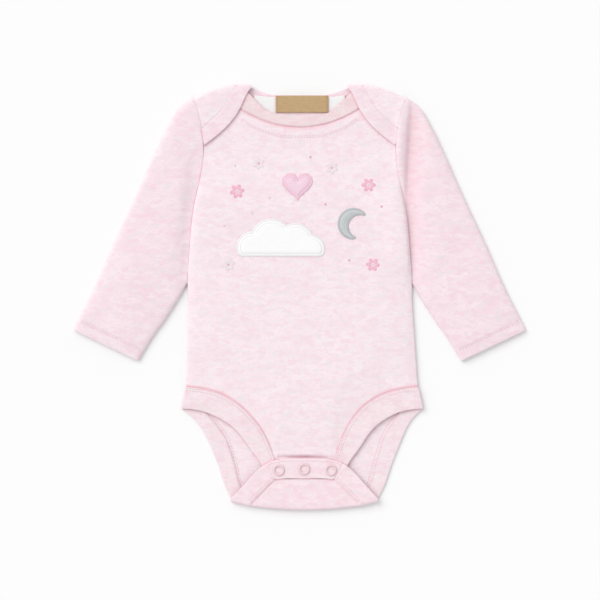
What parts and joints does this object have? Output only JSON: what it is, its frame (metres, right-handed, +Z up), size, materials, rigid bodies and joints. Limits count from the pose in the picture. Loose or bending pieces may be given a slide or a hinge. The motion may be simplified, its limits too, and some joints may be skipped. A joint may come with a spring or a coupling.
{
  "type": "baby onesie",
  "caption": "Long-sleeved pink baby onesie with lap shoulders, leg bindings and a snapped crotch flap, laid flat front up, with sewn chest patches.",
  "frame": {"origin": "centre of the footprint, on the surface that the garment lies on", "axes": "+Z up from the surface, +Y from the crotch toward the neck, +X across the chest from sleeve to sleeve"},
  "size_m": [0.4212, 0.3961, 0.0084],
  "materials": {
    "knit": "matte melange knit",
    "binding": "matte melange knit",
    "white_knit": "matte",
    "label": "matte",
    "pink_satin": "soft sheen",
    "grey_satin": "soft sheen",
    "snap": "satin enamel"
  },
  "bodies": {
    "root": {"front_body": "knit", "back_body": "knit", "sleeve_left": "knit", "sleeve_right": "knit", "leg_binding_front_left": "binding", "leg_binding_front_right": "binding", "leg_binding_back_left": "binding", "leg_binding_back_right": "binding", "snap_placket": "binding", "front_neck_binding": "binding", "back_neck_binding": "binding", "back_neck_facing": "white_knit", "neck_label": "label", "patch_cloud": "white_knit", "patch_heart": "pink_satin", "patch_moon": "grey_satin", "snap_1": "snap", "snap_2": "snap", "snap_3": "snap"}
  },
  "joints": []
}
